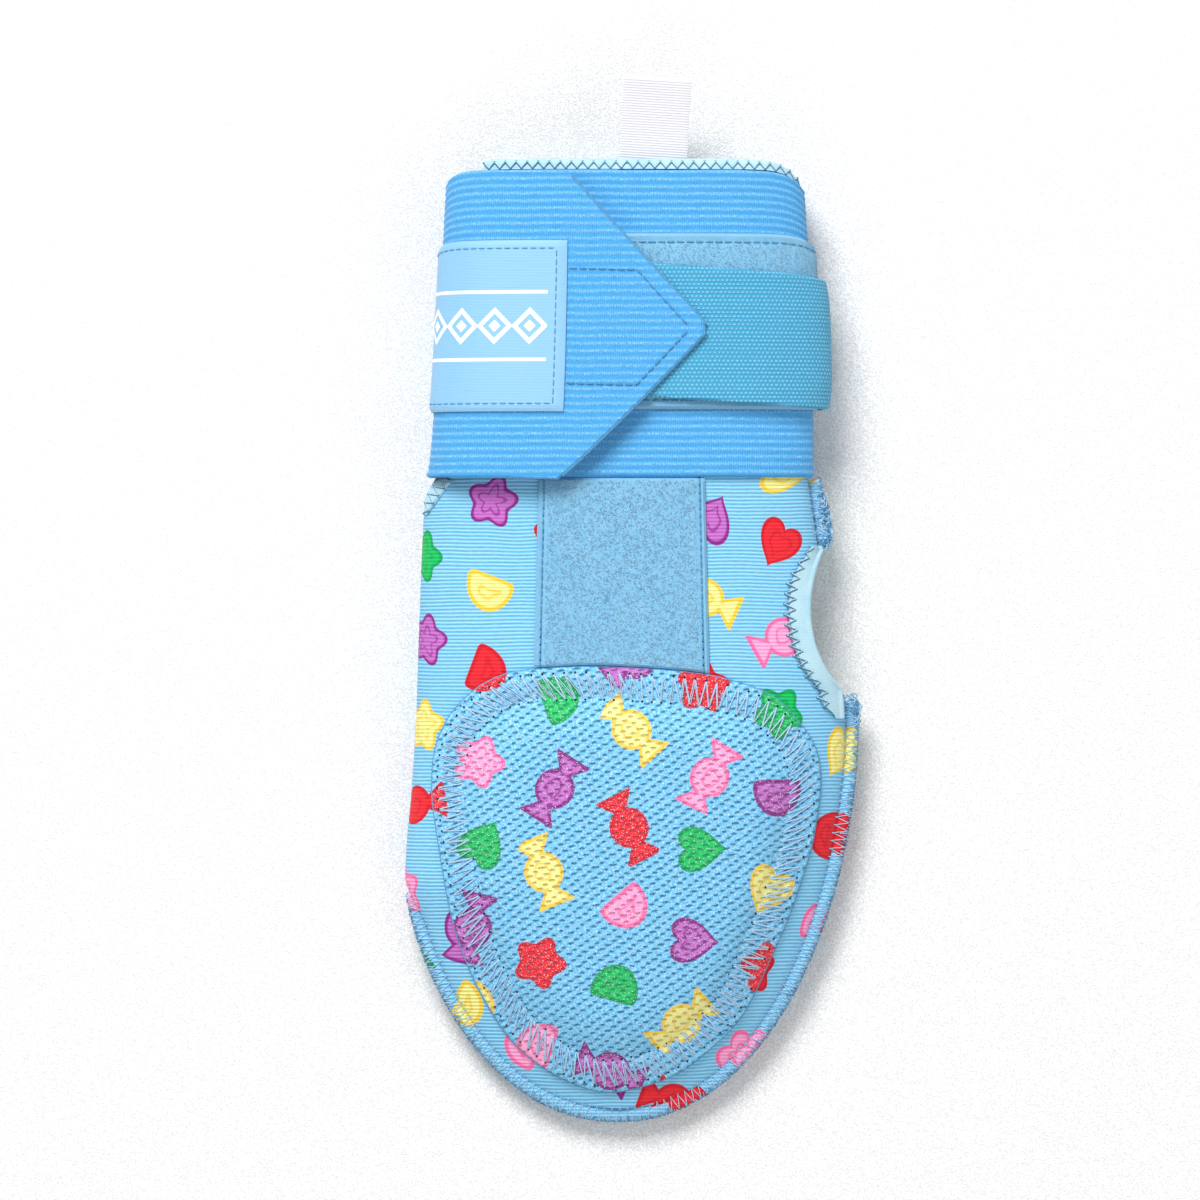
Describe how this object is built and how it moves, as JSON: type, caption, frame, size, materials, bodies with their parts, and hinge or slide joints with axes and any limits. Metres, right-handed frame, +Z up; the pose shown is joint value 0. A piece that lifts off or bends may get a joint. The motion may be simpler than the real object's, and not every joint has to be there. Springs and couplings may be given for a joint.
{
  "type": "baseball sliding mitt",
  "caption": "Hollow neoprene sliding mitt with a padded back, thumb opening, wide pointed wrist band, cinch strap and pull tab.",
  "frame": {"origin": "under the middle of the overall box, on the surface it lies on", "axes": "+Y from the toe to the wrist and pull tab, +X towards the thumb side, +Z up out of the back of the hand"},
  "size_m": [0.1274, 0.2934, 0.0391],
  "materials": {
    "printed_neoprene": "fine-ribbed printed jersey over neoprene",
    "printed_mesh": "printed air mesh over a foam pad",
    "band_elastic": "horizontally ribbed woven elastic",
    "strap_elastic": "fine woven elastic",
    "loop_pile": "fuzzy brushed loop pile",
    "lining": "smooth jersey lining",
    "satin_label": "satin weave with a stitched border",
    "ribbon": "cross-ribbed grosgrain"
  },
  "bodies": {
    "root": {"shell": "printed_neoprene", "seam_edging_hand": "printed_neoprene", "seam_edging_wrist": "printed_neoprene", "thumb_hem": "lining", "wrist_hem": "lining", "back_pad": "printed_mesh", "hand_loop_patch": "loop_pile", "wrist_band": "band_elastic", "band_loop_tape": "loop_pile", "cinch_strap": "strap_elastic", "label_patch": "satin_label", "pull_tab": "ribbon"}
  },
  "joints": []
}
